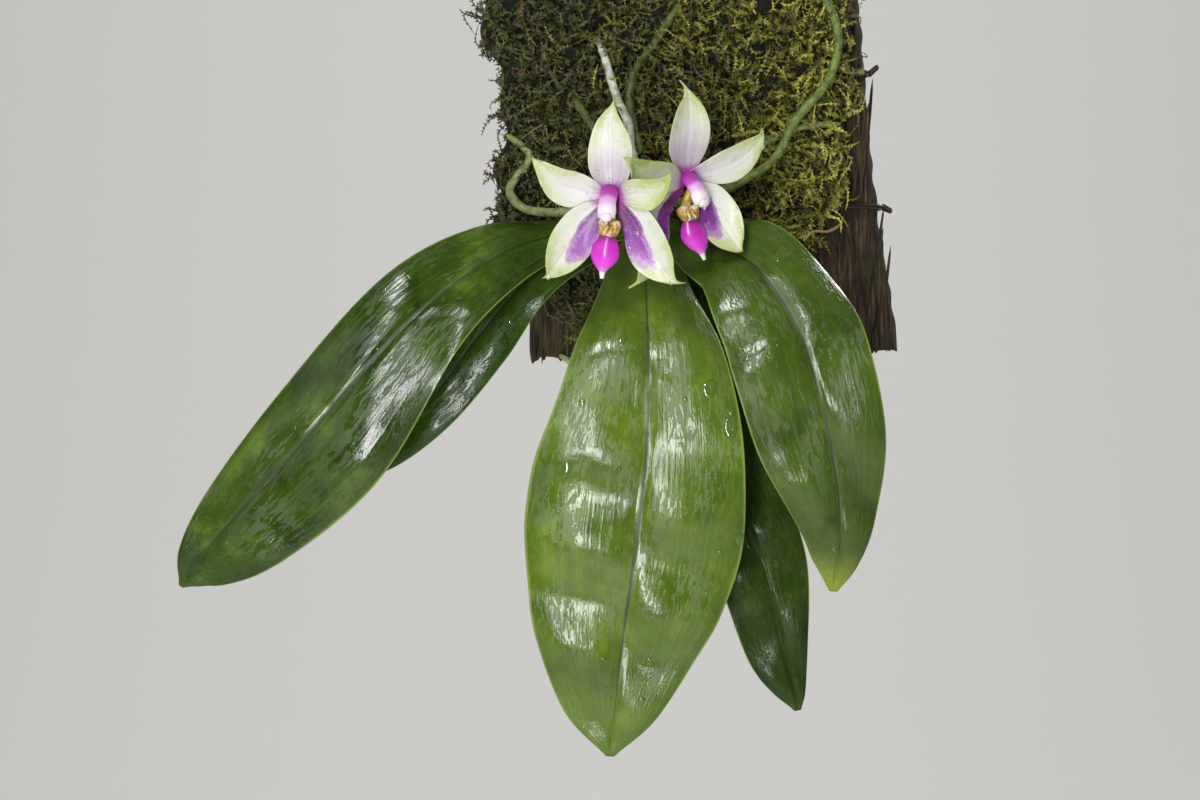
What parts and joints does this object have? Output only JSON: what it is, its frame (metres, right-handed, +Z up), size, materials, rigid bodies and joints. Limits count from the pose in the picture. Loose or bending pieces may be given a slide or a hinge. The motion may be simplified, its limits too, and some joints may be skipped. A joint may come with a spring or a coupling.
{
  "type": "slab-mounted bellina orchid",
  "caption": "Flowering bellina orchid grown on a moss-covered wooden slab, with drooping strap leaves and aerial roots, hung by a wire bail.",
  "frame": {"origin": "centre of the slab's flat back face, on the wall", "axes": "+Y out of the back of the slab into the wall, +Z up, +X to the viewer's right as the plant is seen from the front"},
  "size_m": [0.2519, 0.1189, 0.3712],
  "materials": {
    "wood": "split, rough and weathered",
    "moss": "matte, shaggy",
    "tie_wire": "satin dark coating",
    "steel_wire": "satin",
    "stem": "matte",
    "root_silver": "matte, silvery",
    "root_green": "satin, damp",
    "leaf": "glossy, waxy",
    "spike": "satin",
    "tepal": "waxy satin",
    "column": "waxy satin",
    "lip": "waxy satin"
  },
  "bodies": {
    "root": {"slab": "wood", "hanger": "steel_wire", "tie_1": "tie_wire", "tie_2": "tie_wire", "tie_3": "tie_wire", "moss_pad": "moss", "stem": "stem", "root_silver_up": "root_silver", "root_dark_up": "root_green", "root_short_left": "root_green", "root_hooked_left": "root_silver", "root_long_right": "root_green", "root_crossing_right": "root_green", "root_low": "root_silver", "leaf_centre": "leaf", "leaf_right_front": "leaf", "leaf_left_front": "leaf", "leaf_right_back": "leaf", "leaf_left_back": "leaf", "flower_spike": "spike", "bloom_left_tepals": "tepal", "bloom_left_column": "column", "bloom_left_lip": "lip", "bloom_right_tepals": "tepal", "bloom_right_column": "column", "bloom_right_lip": "lip"}
  },
  "joints": []
}
